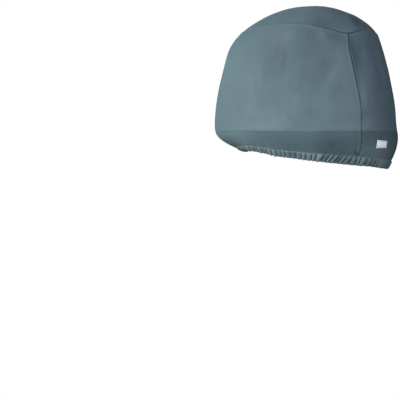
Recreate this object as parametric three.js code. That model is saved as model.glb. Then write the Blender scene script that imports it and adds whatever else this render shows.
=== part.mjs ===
// Fitted fabric cover in the shape that it takes over the cowl of an outboard motor.
// Millimetres. +X is the rear of the cover, +Y its starboard side and +Z up. The origin is on the
// underside of the crown's highest point, where the cowl carries the cover.
//
// Every panel is a patch of one skin. A point of the skin has a direction, in degrees around the
// cover from the rear towards starboard, and a level: -1 at the crown's highest point, 0 at the
// crown seam, 1 at the crease, 2 at the neck of the hem and 3 at the hem's lower edge.
import * as THREE from 'three';

// Overall sizes
const HALF_WIDTH = 275;
const CREASE_TO_CROWN = 524;
const CROWN_SHIFT = 22;

// Cloth and seams
const CLOTH = 2;
const SEAM_GAP = 0.3;

// Plan sections are rounded, fuller in front than behind: how far each half reaches from the middle,
// and its exponents at the crown and down the walls
const FRONT_PLAN = { halfLength: 364, crown: 2.6, wall: 3.9 };
const REAR_PLAN = { halfLength: 393, crown: 2.0, wall: 2.5 };
const WALL_FROM_ANGLE = 34;

// The upright outline: how far it reaches from the middle of the crease plane, as a share of the
// straight sizes, by angle from upright
const OUTLINE = [
  { angle: 0, reach: 1.0 },
  { angle: 12, reach: 1.012 },
  { angle: 22, reach: 1.026 },
  { angle: 32, reach: 1.048 },
  { angle: 40, reach: 1.068 },
  { angle: 46, reach: 1.076 },
  { angle: 52, reach: 1.062 },
  { angle: 60, reach: 1.028 },
  { angle: 70, reach: 1.002 },
  { angle: 80, reach: 0.996 },
  { angle: 86, reach: 0.995 },
  { angle: 90, reach: 1.0 },
];

// Where the crown seam runs: its angle from upright, by direction away from the rear
const CROWN_SEAM = [
  { away: 0, angle: 42.5 },
  { away: 14, angle: 44 },
  { away: 28, angle: 46 },
  { away: 42, angle: 43 },
  { away: 58, angle: 40 },
  { away: 76, angle: 37.8 },
  { away: 110, angle: 38 },
  { away: 136, angle: 39.5 },
  { away: 153, angle: 43 },
  { away: 180, angle: 41 },
];

// Where the four upright seams run: direction away from the middle of the rear or front panel
const CORNER_SEAM = [
  { level: 0, away: 26.3 },
  { level: 0.2, away: 26.8 },
  { level: 0.5, away: 25 },
  { level: 0.8, away: 23.6 },
  { level: 1, away: 24.3 },
  { level: 2, away: 24.3 },
  { level: 3, away: 24.3 },
];

// The skirt below the crease: how far its neck lies down and in, the share of that reach taken in a
// straight slope from the crease, how late the rest curls in, how far its upper part bulges, how much
// the crease is rounded off, and the hem's lean from upright and depth, by direction away from the rear
const SKIRT = [
  { away: 0, drop: 117, inward: 22, straight: 0, curl: 2.8, bulge: 5.8, round: 0, lean: 27, hem: 38 },
  { away: 30, drop: 115, inward: 22, straight: 0, curl: 2.8, bulge: 5.8, round: 0, lean: 27, hem: 37 },
  { away: 56, drop: 103, inward: 27, straight: 0.2, curl: 2.6, bulge: 4, round: 0, lean: 27, hem: 34 },
  { away: 90, drop: 79, inward: 32, straight: 0.5, curl: 2.2, bulge: 0, round: 0, lean: 29, hem: 31 },
  { away: 118, drop: 64, inward: 42, straight: 0.4, curl: 2, bulge: 0, round: 0, lean: 40, hem: 29 },
  { away: 138, drop: 67, inward: 80, straight: 0.2, curl: 2.2, bulge: 0, round: 3, lean: 58, hem: 28 },
  { away: 155, drop: 80, inward: 108, straight: 0.15, curl: 2.3, bulge: 0, round: 6, lean: 74, hem: 28 },
  { away: 180, drop: 72, inward: 96, straight: 0.15, curl: 2.3, bulge: 0, round: 6, lean: 74, hem: 28 },
];
const ROUND_FROM_ANGLE = 84;
const BULGE_HEIGHT = 0.6;
const REAR_SAG = 14;

// The gathered hem
const HEM_SHAPE = [
  { level: 2, proud: 0, gathered: 0.25 },
  { level: 2.14, proud: 1.4, gathered: 1 },
  { level: 2.6, proud: 1.8, gathered: 1 },
  { level: 3, proud: 1, gathered: 0.8 },
];
const GATHER_RISE = 3.6;
const GATHER_UNEVEN = 0.45;
const GATHER_TOP_FROM = 0.3;
const GATHER_TOP_TO = 0.7;
const SLANT_PITCHES = 0.9;
const SLANT_AWAY = { from: 12, fullFrom: 30, fullTo: 50, to: 80 };
const SLANT_CLEAR_PITCHES = 3;

// Soft troughs and ridges of the slack cloth: the middle of each, how far it leans from upright,
// its length and width, and how far it rises
const FOLDS = [
  { direction: -152, level: 0.6, lean: -10, long: 160, wide: 70, rise: 1.8 },
  { direction: -114, level: 0.45, lean: 5, long: 260, wide: 100, rise: 1.6 },
  { direction: -79, level: 0.72, lean: -15, long: 120, wide: 55, rise: -2.2 },
  { direction: -70, level: 0.2, lean: 8, long: 130, wide: 80, rise: 2.6 },
  { direction: -68, level: 0.47, lean: 72, long: 130, wide: 55, rise: 1.8 },
  { direction: -49, level: 0.74, lean: -20, long: 100, wide: 50, rise: -1.8 },
  { direction: -40, level: 0.33, lean: 14, long: 120, wide: 50, rise: -2 },
  { direction: -15, level: 0.6, lean: -8, long: 200, wide: 40, rise: 2 },
  { direction: -1, level: 0.5, lean: -12, long: 260, wide: 45, rise: -1.8 },
  { direction: 14, level: 0.56, lean: -10, long: 200, wide: 45, rise: 1.6 },
  { direction: 41, level: 0.3, lean: -6, long: 130, wide: 60, rise: -2.2 },
  { direction: 58, level: 0.62, lean: 70, long: 130, wide: 60, rise: 2 },
  { direction: 77, level: 0.26, lean: 10, long: 160, wide: 80, rise: 2.4 },
  { direction: 93, level: 0.7, lean: -20, long: 120, wide: 60, rise: -2 },
  { direction: 113, level: 0.45, lean: 60, long: 140, wide: 60, rise: 1.8 },
  { direction: 136, level: 0.6, lean: -8, long: 200, wide: 80, rise: -1.8 },
  { direction: 174, level: 0.45, lean: 8, long: 220, wide: 70, rise: 1.8 },
];
const WALL_RUN = 420;
const GIRTH_PER_DEGREE = 6.3;

// The panels, by the seams at their two ends, with their columns of faces and their gathers
const PANELS = [
  { name: 'side_panel_port', from: [-180, 1], to: [0, -1], columns: 26, gathers: 33 },
  { name: 'rear_panel', from: [0, -1], to: [0, 1], columns: 9, gathers: 13 },
  { name: 'side_panel_starboard', from: [0, 1], to: [180, -1], columns: 26, gathers: 33 },
  { name: 'front_panel', from: [180, -1], to: [180, 1], columns: 9, gathers: 11 },
];
const WALL_LEVELS = [0, 0.12, 0.25, 0.38, 0.51, 0.64, 0.77, 0.89, 1];
const SKIRT_LEVELS = [1.3, 1.58, 1.8];
const CROWN_RINGS = [
  { level: -0.84, every: 5 },
  { level: -0.66, every: 2 },
  { level: -0.48, every: 1 },
  { level: -0.3, every: 1 },
  { level: -0.14, every: 1 },
  { level: 0, every: 1 },
];

// The sewn-on label, on the rear skirt. It narrows a little towards starboard.
const LABEL_WIDTH = 70;
const LABEL_PORT_HEIGHT = 34;
const LABEL_STARBOARD_HEIGHT = 28;
const LABEL_THICK = 1;
const LABEL_MIDDLE_DIRECTION = -8;
const LABEL_MIDDLE_LEVEL = 1.49;
const LABEL_COLUMNS = 8;
const LABEL_ROWS = 3;

const CLOTH_LOOK = { color: 0x6f8890, roughness: 0.85, metalness: 0, side: THREE.DoubleSide };
const LABEL_LOOK = { color: 0xe4e6e4, roughness: 0.6, metalness: 0, side: THREE.DoubleSide };

const UP = new THREE.Vector3(0, 0, 1);
const { clamp, degToRad, lerp, smoothstep } = THREE.MathUtils;

// Smooth value of one column of a table, flat at both of the table's ends
function column(table, key, name, at) {
  const last = table.length - 1;
  const place = clamp(at, table[0][key], table[last][key]);
  let i = 0;
  while (i < last - 1 && table[i + 1][key] <= place) i += 1;
  const slope = (k) => {
    if (k === 0 || k === last) return 0;
    return (table[k + 1][name] - table[k - 1][name]) / (table[k + 1][key] - table[k - 1][key]);
  };
  const span = table[i + 1][key] - table[i][key];
  const s = (place - table[i][key]) / span;
  return (
    table[i][name] * (2 * s ** 3 - 3 * s ** 2 + 1) +
    slope(i) * span * (s ** 3 - 2 * s ** 2 + s) +
    table[i + 1][name] * (3 * s ** 2 - 2 * s ** 3) +
    slope(i + 1) * span * (s ** 3 - s ** 2)
  );
}

// Degrees away from the rear, from 0 to 180
function awayFromRear(direction) {
  const turned = THREE.MathUtils.euclideanModulo(direction, 360);
  return turned > 180 ? 360 - turned : turned;
}

// A repeatable uneven number from 0 to 1
function uneven(number) {
  const wave = Math.sin(number * 12.9898 + 4.1) * 43758.5453;
  return wave - Math.floor(wave);
}

// A point of a plan section, which lies at a share of the way from the crown down to the walls
function planPoint(direction, share) {
  const cos = Math.cos(degToRad(direction));
  const sin = Math.sin(degToRad(direction));
  const { halfLength, crown, wall } = cos > 0 ? REAR_PLAN : FRONT_PLAN;
  const squareness = lerp(crown, wall, share);
  const sum = Math.abs(cos / halfLength) ** squareness + Math.abs(sin / HALF_WIDTH) ** squareness;
  return new THREE.Vector3(cos, sin, 0).multiplyScalar(sum ** (-1 / squareness));
}

function skirtValue(name, direction) {
  return column(SKIRT, 'away', name, awayFromRear(direction));
}

// A point of the crown or of a wall, from the middle of the crease plane
function abovePoint(direction, angle) {
  const reach = column(OUTLINE, 'angle', 'reach', angle);
  const out = reach * Math.sin(degToRad(angle));
  const up = reach * Math.cos(degToRad(angle));
  const point = planPoint(direction, smoothstep(angle, 0, WALL_FROM_ANGLE));
  const rounding = clamp((angle - ROUND_FROM_ANGLE) / (90 - ROUND_FROM_ANGLE), 0, 1) ** 2;
  point.setLength(point.length() * out - skirtValue('round', direction) * rounding);
  point.x += CROWN_SHIFT * smoothstep(up, 0.62, 0.92);
  point.z = CREASE_TO_CROWN * up;
  return point;
}

// A point of the skirt or hem, from the middle of the crease plane
function belowPoint(direction, level) {
  const skirt = (name) => skirtValue(name, direction);
  const down = Math.min(level - 1, 1);
  const along = skirt('hem') * Math.max(level - 2, 0);
  const lean = degToRad(skirt('lean'));
  const sag = REAR_SAG * Math.sin(2 * degToRad(direction)) * (awayFromRear(direction) < 90 ? 1 : 0);
  const drop = (skirt('drop') + sag) * down + along * Math.cos(lean);
  const curled = lerp(down ** skirt('curl'), down, skirt('straight'));
  const bulge = skirt('bulge') * Math.sin(Math.PI * down ** BULGE_HEIGHT);
  const inward = lerp(skirt('round'), skirt('inward'), curled) - bulge + along * Math.sin(lean);
  const point = planPoint(direction, 1);
  point.setLength(point.length() - inward);
  point.z = -drop;
  return point;
}

// The smooth skin, without folds or gathers
function skin(direction, level) {
  const seam = column(CROWN_SEAM, 'away', 'angle', awayFromRear(direction));
  let point;
  if (level <= 0) point = abovePoint(direction, seam * (level + 1));
  else if (level <= 1) point = abovePoint(direction, lerp(seam, 90, level));
  else point = belowPoint(direction, level);
  point.x -= CROWN_SHIFT;
  point.z += CLOTH - CREASE_TO_CROWN;
  return point;
}

function outwardNormal(direction, level) {
  if (level <= -1) return UP.clone();
  const turn = 0.05;
  const step = 0.002;
  const around = skin(direction + turn, level).sub(skin(direction - turn, level));
  const below = skin(direction, Math.min(level + step, 3));
  const down = below.sub(skin(direction, Math.max(level - step, -1)));
  return down.cross(around).normalize();
}

// How far the slack cloth stands out from the smooth skin
function slack(direction, level) {
  let rise = 0;
  for (const fold of FOLDS) {
    const apart = THREE.MathUtils.euclideanModulo(direction - fold.direction + 180, 360) - 180;
    const across = apart * GIRTH_PER_DEGREE;
    const down = (level - fold.level) * WALL_RUN;
    const lean = degToRad(fold.lean);
    const u = (across * Math.cos(lean) + down * Math.sin(lean)) / fold.wide;
    const v = (down * Math.cos(lean) - across * Math.sin(lean)) / fold.long;
    rise += fold.rise * Math.exp(-2 * (u * u + 2 * v * v));
  }
  return rise * smoothstep(level, -0.05, 0.15) * (1 - smoothstep(level, 0.8, 1));
}

// One point of a panel's outer face and the point of its inner face behind it
function clothPoint(direction, level, raised) {
  const normal = outwardNormal(direction, level);
  const face = skin(direction, level).addScaledVector(normal, slack(direction, level));
  const outer = face.clone().addScaledVector(normal, raised);
  return { outer, inner: face.addScaledVector(normal, 0.75 * raised - CLOTH) };
}

// Share of the turn between two directions at which each share of the crease's length is reached
function evenTurns(from, to, shares) {
  const steps = 400;
  const lengths = [0];
  let before = planPoint(from, 1);
  for (let i = 1; i <= steps; i += 1) {
    const here = planPoint(lerp(from, to, i / steps), 1);
    lengths.push(lengths[i - 1] + here.distanceTo(before));
    before = here;
  }
  return shares.map((share) => {
    const wanted = share * lengths[steps];
    let i = 0;
    while (i < steps - 1 && lengths[i + 1] < wanted) i += 1;
    return (i + (wanted - lengths[i]) / (lengths[i + 1] - lengths[i])) / steps;
  });
}

// Direction of the seam at one end of a panel, given as [middle direction, side of the middle]
function seamDirection([middle, side], level) {
  return middle + side * column(CORNER_SEAM, 'level', 'away', level);
}

// Direction at a share of the turn across a panel, kept half a seam gap inside its end seams
function panelDirection(panel, level, turn) {
  const from = seamDirection(panel.from, level);
  const to = seamDirection(panel.to, level);
  const radius = Math.hypot(skin(from, level).x + CROWN_SHIFT, skin(from, level).y);
  const inset = THREE.MathUtils.radToDeg(SEAM_GAP / 2 / radius);
  return lerp(from + inset, to - inset, turn);
}

// Half a seam gap as a change of level at the crown seam
function crownGap(direction) {
  const step = 0.01;
  return ((SEAM_GAP / 2) * step) / skin(direction, step).distanceTo(skin(direction, 0));
}

// Shares across a panel of its gathers' grooves and tops, with how high each stands
function gatherColumns(count, seed) {
  const widths = [];
  for (let i = 0; i < count; i += 1) widths.push(1 + GATHER_UNEVEN * (2 * uneven(seed + i) - 1));
  const total = widths.reduce((sum, width) => sum + width, 0);
  const columns = [];
  let start = 0;
  widths.forEach((width, i) => {
    const high = 0.75 + 0.5 * uneven(seed + i + 0.5);
    columns.push({ share: start / total, high: 0 });
    columns.push({ share: (start + GATHER_TOP_FROM * width) / total, high });
    columns.push({ share: (start + GATHER_TOP_TO * width) / total, high });
    start += width;
  });
  columns.push({ share: 1, high: 0 });
  return columns;
}

// How far a gather's lower end lies ahead of its upper end, in degrees towards the front. Near a
// seam, given in pitches, it fades out.
function slant(direction, level, pitch, pitchesToSeam) {
  const away = awayFromRear(direction);
  const rising = smoothstep(away, SLANT_AWAY.from, SLANT_AWAY.fullFrom);
  const falling = 1 - smoothstep(away, SLANT_AWAY.fullTo, SLANT_AWAY.to);
  const clear = Math.min(1, pitchesToSeam / SLANT_CLEAR_PITCHES);
  return Math.sign(direction) * rising * falling * clear * SLANT_PITCHES * pitch * (level - 2);
}

function evenShares(count) {
  return Array.from({ length: count + 1 }, (_, i) => i / count);
}

// A panel of the wall as rows of points from the crown seam to the hem's lower edge
function panelRows(panel, seed) {
  const from = seamDirection(panel.from, 1);
  const to = seamDirection(panel.to, 1);
  const shares = evenShares(panel.columns);
  const turns = evenTurns(from, to, shares);
  const rows = [...WALL_LEVELS, ...SKIRT_LEVELS].map((level) =>
    shares.map((share, i) => {
      const direction = panelDirection(panel, level, turns[i]);
      const gap = level === 0 ? crownGap(direction) : 0;
      return { share, ...clothPoint(direction, level + gap, 0) };
    }),
  );
  const gathers = gatherColumns(panel.gathers, seed);
  const hemTurns = evenTurns(from, to, gathers.map((gather) => gather.share));
  const pitch = (to - from) / panel.gathers;
  for (const { level, proud, gathered } of HEM_SHAPE) {
    rows.push(
      gathers.map(({ share, high }, i) => {
        const straight = panelDirection(panel, level, hemTurns[i]);
        const pitchesToSeam = Math.min(share, 1 - share) * panel.gathers;
        const direction = straight + slant(straight, level, pitch, pitchesToSeam);
        const raised = proud + (GATHER_RISE * high - GATHER_RISE / 2) * gathered;
        return { share, ...clothPoint(direction, level, Math.max(raised, 0)) };
      }),
    );
  }
  return rows;
}

// Directions of the crown's columns: those of the four walls at the crown seam
function crownTurns() {
  const directions = [];
  for (const panel of PANELS) {
    const from = seamDirection(panel.from, 0);
    const to = seamDirection(panel.to, 0);
    const shares = evenShares(panel.columns);
    const turns = evenTurns(seamDirection(panel.from, 1), seamDirection(panel.to, 1), shares);
    turns.slice(0, -1).forEach((turn) => directions.push(lerp(from, to, turn)));
  }
  return [...directions, directions[0] + 360];
}

function crownRows() {
  const directions = crownTurns();
  const last = directions.length - 1;
  const rows = [[{ share: 0, ...clothPoint(0, -1, 0) }]];
  for (const { level, every } of CROWN_RINGS) {
    const ring = [];
    for (let i = 0; i <= last; i += every) {
      const direction = directions[i === last ? 0 : i];
      const gap = level === 0 ? crownGap(direction) : 0;
      ring.push({ share: i / last, ...clothPoint(direction, level - gap, 0) });
    }
    rows.push(ring);
  }
  return rows;
}

// Triangles between two rows that run the same way, which may have unlike counts of points
function strip(triangles, upper, lower) {
  let i = 0;
  let j = 0;
  while (i < upper.length - 1 || j < lower.length - 1) {
    const nextUpper = i + 1 < upper.length ? upper[i + 1].share : Infinity;
    const nextLower = j + 1 < lower.length ? lower[j + 1].share : Infinity;
    if (nextUpper < nextLower) {
      triangles.push([upper[i].at, lower[j].at, upper[i + 1].at]);
      i += 1;
    } else {
      triangles.push([upper[i].at, lower[j].at, lower[j + 1].at]);
      j += 1;
    }
  }
}

// Closes a panel's two cut ends
function ends(triangles, rows) {
  for (let i = 0; i + 1 < rows.length; i += 1) {
    const [a, b] = [rows[i][0], rows[i + 1][0]];
    triangles.push([b.outer, a.outer, a.inner], [b.outer, a.inner, b.inner]);
    const [c, d] = [rows[i].at(-1), rows[i + 1].at(-1)];
    triangles.push([c.outer, d.outer, d.inner], [c.outer, d.inner, c.inner]);
  }
}

// A closed sheet of cloth: down its outer face, round its edge and up its inner face
function sheetGeometry(rows, isRing) {
  const face = (side) => rows.map((row) => row.map((point) => ({ share: point.share, at: point[side] })));
  const outer = face('outer');
  const loop = [...outer, ...face('inner').reverse()];
  if (!isRing) loop.push(outer[0]);
  const triangles = [];
  for (let i = 0; i + 1 < loop.length; i += 1) strip(triangles, loop[i], loop[i + 1]);
  if (!isRing) ends(triangles, rows);
  const positions = triangles.flat().flatMap((point) => point.toArray());
  const geometry = new THREE.BufferGeometry();
  geometry.setAttribute('position', new THREE.Float32BufferAttribute(positions, 3));
  geometry.computeVertexNormals();
  return geometry;
}

// The label lies on the rear skirt, a seam gap outside the cloth
function labelRows() {
  const middle = skin(LABEL_MIDDLE_DIRECTION, LABEL_MIDDLE_LEVEL);
  const perDegree = degToRad(Math.hypot(middle.x + CROWN_SHIFT, middle.y));
  const perLevel = skirtValue('drop', LABEL_MIDDLE_DIRECTION);
  return evenShares(LABEL_ROWS).map((down) =>
    evenShares(LABEL_COLUMNS).map((share) => {
      const height = lerp(LABEL_PORT_HEIGHT, LABEL_STARBOARD_HEIGHT, share);
      const direction = LABEL_MIDDLE_DIRECTION + ((share - 0.5) * LABEL_WIDTH) / perDegree;
      const level = LABEL_MIDDLE_LEVEL + ((down - 0.5) * height) / perLevel;
      const normal = outwardNormal(direction, level);
      const outer = skin(direction, level).addScaledVector(normal, SEAM_GAP + LABEL_THICK);
      const inner = skin(direction, level).addScaledVector(normal, SEAM_GAP);
      return { share, outer, inner };
    }),
  );
}

function mesh(name, rows, isRing, look) {
  const made = new THREE.Mesh(sheetGeometry(rows, isRing), new THREE.MeshStandardMaterial(look));
  made.name = name;
  return made;
}

const group = new THREE.Group();
group.add(mesh('top_panel', crownRows(), true, CLOTH_LOOK));
PANELS.forEach((panel, i) => {
  group.add(mesh(panel.name, panelRows(panel, 100 * (i + 1)), false, CLOTH_LOOK));
});
group.add(mesh('label', labelRows(), false, LABEL_LOOK));

export default group;
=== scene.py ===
# Looks of a fitted fabric cover in the shape that it takes over the cowl of an outboard motor.
# Metres. +X is the rear of the cover, +Y its starboard side and +Z up. The origin is on the
# underside of the crown's highest point.
#
# Every panel is a patch of one skin. A point of the skin has a direction, in degrees around the
# cover from the rear towards starboard, and a level: -1 at the crown's highest point, 0 at the
# crown seam, 1 at the crease, 2 at the neck of the hem and 3 at the hem's lower edge.
import math
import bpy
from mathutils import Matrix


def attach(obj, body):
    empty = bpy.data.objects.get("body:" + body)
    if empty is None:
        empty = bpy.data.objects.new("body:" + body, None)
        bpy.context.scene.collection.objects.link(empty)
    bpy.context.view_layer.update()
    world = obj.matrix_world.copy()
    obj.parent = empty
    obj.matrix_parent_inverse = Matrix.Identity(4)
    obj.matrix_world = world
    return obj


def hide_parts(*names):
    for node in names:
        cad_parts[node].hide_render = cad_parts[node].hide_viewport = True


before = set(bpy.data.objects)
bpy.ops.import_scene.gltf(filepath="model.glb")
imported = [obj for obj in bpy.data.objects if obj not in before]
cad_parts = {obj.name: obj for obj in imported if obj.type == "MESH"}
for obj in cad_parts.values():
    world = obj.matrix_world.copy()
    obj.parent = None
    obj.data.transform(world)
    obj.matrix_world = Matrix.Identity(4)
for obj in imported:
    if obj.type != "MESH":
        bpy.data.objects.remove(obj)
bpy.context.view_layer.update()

from types import SimpleNamespace

import bpy
import numpy as np
from mathutils import Matrix


def table(names, *rows):
    """A short table as one array for each named column."""
    return {name: np.array([row[i] for row in rows], float) for i, name in enumerate(names.split())}


# The photograph's frame, and the camera, which is level with the crease
PHOTO_SIZE = 400
SENSOR = 36
MIDDLE_COLUMN = 304.8
CREASE_ROW = 130.6
METRES_PER_PIXEL = 0.0043
CAMERA_DISTANCE = 5.0
CAMERA_AZIMUTH = 30
CLIP_END = 60

# Overall sizes
HALF_WIDTH = 0.275
CREASE_TO_CROWN = 0.524
CROWN_SHIFT = 0.022
CLOTH = 0.002
CREASE_MIDDLE = np.array([-CROWN_SHIFT, 0, CLOTH - CREASE_TO_CROWN])

# Plan sections are rounded, fuller in front than behind: how far each half reaches from the middle,
# and its exponents at the crown and down the walls
FRONT_PLAN = (0.364, 2.6, 3.9)
REAR_PLAN = (0.393, 2.0, 2.5)
WALL_FROM_ANGLE = 34

# Heights, in shares of the crown's, over which its shift to the rear comes in
SHIFT_BAND = (0.62, 0.92)

# The upright outline: how far it reaches from the middle of the crease plane, as a share of the
# straight sizes, by angle from upright
OUTLINE = table(
    "angle reach",
    (0, 1), (12, 1.012), (22, 1.026), (32, 1.048), (40, 1.068), (46, 1.076),
    (52, 1.062), (60, 1.028), (70, 1.002), (80, 0.996), (86, 0.995), (90, 1),
)

# Where the crown seam runs: its angle from upright, by direction away from the rear
CROWN_SEAM = table(
    "away angle",
    (0, 42.5), (14, 44), (28, 46), (42, 43), (58, 40),
    (76, 37.8), (110, 38), (136, 39.5), (153, 43), (180, 41),
)

# Where the upright seams run: direction away from the middle of the rear or front panel, and how
# dark their painted shadow line is
CORNER_SEAM = table(
    "level away dark",
    (0, 26.3, 0.6), (0.2, 26.8, 0.85), (0.5, 25, 1), (0.8, 23.6, 0.6), (1, 24.3, 0.45), (2, 24.3, 0.4),
    (3, 24.3, 0.4),
)

# How dark the crown seam's painted shadow line is, which breaks up where the cloth lies smooth over it
CROWN_SEAM_SHADOW_LINE = table(
    "direction dark",
    (-180, 0.3), (-104, 0.3), (-92, 0.5), (-82, 1), (-68, 0.4), (-54, 0.4), (-44, 1), (-24, 1.1),
    (-8, 0.35), (40, 0.5), (90, 0.8), (130, 0.4), (180, 0.3),
)

# The skirt below the crease: how far its neck lies down and in, the share of that reach taken in a
# straight slope from the crease, how late the rest curls in, how far its upper part bulges, how much
# the crease is rounded off, and the hem's lean from upright and depth, by direction away from the rear
SKIRT = table(
    "away drop inward straight curl bulge round lean hem",
    (0, 0.117, 0.022, 0, 2.8, 0.0058, 0, 27, 0.038),
    (30, 0.115, 0.022, 0, 2.8, 0.0058, 0, 27, 0.037),
    (56, 0.103, 0.027, 0.2, 2.6, 0.004, 0, 27, 0.034),
    (90, 0.079, 0.032, 0.5, 2.2, 0, 0, 29, 0.031),
    (118, 0.064, 0.042, 0.4, 2, 0, 0, 40, 0.029),
    (138, 0.067, 0.08, 0.2, 2.2, 0, 0.003, 58, 0.028),
    (155, 0.08, 0.108, 0.15, 2.3, 0, 0.006, 74, 0.028),
    (180, 0.072, 0.096, 0.15, 2.3, 0, 0.006, 74, 0.028),
)

# How much lower the neck hangs towards starboard at the rear, from which angle the crease is rounded
# and how much at most, and the power that lifts the bulge to the skirt's upper part
REAR_SAG = 0.014
ROUND_FROM_ANGLE = 84
MOST_ROUND = 0.006
BULGE_POWER = 0.6

# Broad soft folds of the slack cloth
FOLDS = table(
    "direction level lean long wide rise",
    (-152, 0.6, -10, 0.16, 0.07, 0.0018),
    (-114, 0.45, 5, 0.26, 0.1, 0.0016),
    (-79, 0.72, -15, 0.12, 0.055, -0.0022),
    (-70, 0.2, 8, 0.13, 0.08, 0.0026),
    (-68, 0.47, 72, 0.13, 0.055, 0.0018),
    (-49, 0.74, -20, 0.1, 0.05, -0.0018),
    (-40, 0.33, 14, 0.12, 0.05, -0.002),
    (-15, 0.6, -8, 0.2, 0.04, 0.002),
    (-1, 0.5, -12, 0.26, 0.045, -0.0018),
    (14, 0.56, -10, 0.2, 0.045, 0.0016),
    (41, 0.3, -6, 0.13, 0.06, -0.0022),
    (58, 0.62, 70, 0.13, 0.06, 0.002),
    (77, 0.26, 10, 0.16, 0.08, 0.0024),
    (93, 0.7, -20, 0.12, 0.06, -0.002),
    (113, 0.45, 60, 0.14, 0.06, 0.0018),
    (136, 0.6, -8, 0.2, 0.08, -0.0018),
    (174, 0.45, 8, 0.22, 0.07, 0.0018),
)

# Lesser creases of the walls, and those of the skirt
CREASES = table(
    "direction level lean long wide rise",
    (-150, 0.55, -14, 0.12, 0.02, 0.0007),
    (-128, 0.8, 40, 0.09, 0.018, -0.0006),
    (-108, 0.7, -30, 0.12, 0.022, 0.0007),
    (-92, 0.3, 12, 0.09, 0.03, 0.0018),
    (-78, 0.38, 8, 0.1, 0.032, -0.0018),
    (-74, 0.55, 62, 0.12, 0.024, 0.0012),
    (-61, 0.1, -12, 0.08, 0.026, 0.0014),
    (-60, 0.52, 40, 0.13, 0.028, -0.0016),
    (-52, 0.16, 4, 0.09, 0.026, -0.0014),
    (-49, 0.38, 24, 0.1, 0.028, 0.0015),
    (-42, 0.46, 30, 0.09, 0.026, -0.0014),
    (-36, 0.75, -20, 0.1, 0.016, 0.0007),
    (-33, 0.08, 60, 0.07, 0.018, -0.0012),
    (-20, 0.3, -8, 0.14, 0.016, -0.0012),
    (-16, 0.72, -8, 0.1, 0.014, -0.0008),
    (-8, 0.4, -12, 0.18, 0.018, 0.0007),
    (3, 0.75, -8, 0.16, 0.02, 0.0007),
    (17, 0.35, -16, 0.12, 0.018, 0.0008),
    (40, 0.65, 30, 0.12, 0.02, 0.0009),
    (54, 0.28, 10, 0.1, 0.028, 0.0014),
    (66, 0.34, -44, 0.12, 0.024, -0.0013),
    (92, 0.7, 50, 0.13, 0.02, 0.0007),
    (100, 0.3, -12, 0.1, 0.03, 0.0014),
    (118, 0.5, -28, 0.12, 0.022, -0.0009),
    (146, 0.3, 20, 0.1, 0.018, 0.0007),
    (168, 0.7, -24, 0.12, 0.02, -0.0007),
)
SKIRT_CREASES = table(
    "direction level lean long wide rise",
    (-150, 1.6, 20, 0.03, 0.009, -0.0012),
    (-127, 1.72, -14, 0.03, 0.006, -0.0014),
    (-123, 1.78, 6, 0.028, 0.006, -0.0014),
    (-117, 1.86, 4, 0.022, 0.005, 0.0012),
    (-111, 1.84, -8, 0.02, 0.005, -0.001),
    (-104, 1.87, 10, 0.022, 0.004, 0.0011),
    (-95, 1.84, 5, 0.02, 0.006, 0.0009),
    (-86, 1.86, -6, 0.02, 0.005, 0.001),
    (-76, 1.8, -10, 0.025, 0.006, 0.001),
    (-58, 1.82, 12, 0.025, 0.006, -0.001),
    (-40, 1.62, 55, 0.05, 0.018, -0.0018),
    (-25.6, 1.88, -20, 0.034, 0.008, -0.0036),
    (-20, 1.75, 14, 0.03, 0.008, 0.0012),
    (-13, 1.19, 82, 0.05, 0.005, 0.0009),
    (-12, 1.25, 82, 0.05, 0.004, -0.0009),
    (-11, 1.86, 4, 0.024, 0.005, 0.0011),
    (-7.5, 1.87, -3, 0.024, 0.004, 0.001),
    (-4, 1.85, -8, 0.024, 0.005, 0.001),
    (9, 1.8, -10, 0.03, 0.007, -0.0012),
    (21, 1.78, -16, 0.03, 0.008, -0.0022),
    (48, 1.55, 50, 0.05, 0.015, -0.0014),
    (82, 1.78, 5, 0.03, 0.007, 0.0012),
    (106, 1.8, -12, 0.028, 0.007, -0.001),
    (131, 1.7, 0, 0.03, 0.009, 0.0014),
    (162, 1.6, -14, 0.03, 0.009, -0.0012),
)

# The run of cloth that a level and a degree stand for, in placing folds and other marks on the walls
WALL_RUN = 0.42
GIRTH_PER_DEGREE = 0.0063

# Creases of the crown, by their places on its flat cloth: +x is the rear and +y starboard
CROWN_CREASES = table(
    "y x lean long wide rise",
    (-0.06, 0.229, 37, 0.075, 0.014, 0.0036),
    (-0.036, 0.252, 37, 0.07, 0.018, -0.0016),
    (0.07, 0.2, -72, 0.08, 0.02, 0.0014),
    (-0.13, 0.06, 20, 0.09, 0.03, -0.0012),
    (0.09, -0.05, -35, 0.1, 0.03, 0.0012),
    (-0.03, -0.17, 70, 0.08, 0.025, -0.0012),
)
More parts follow.
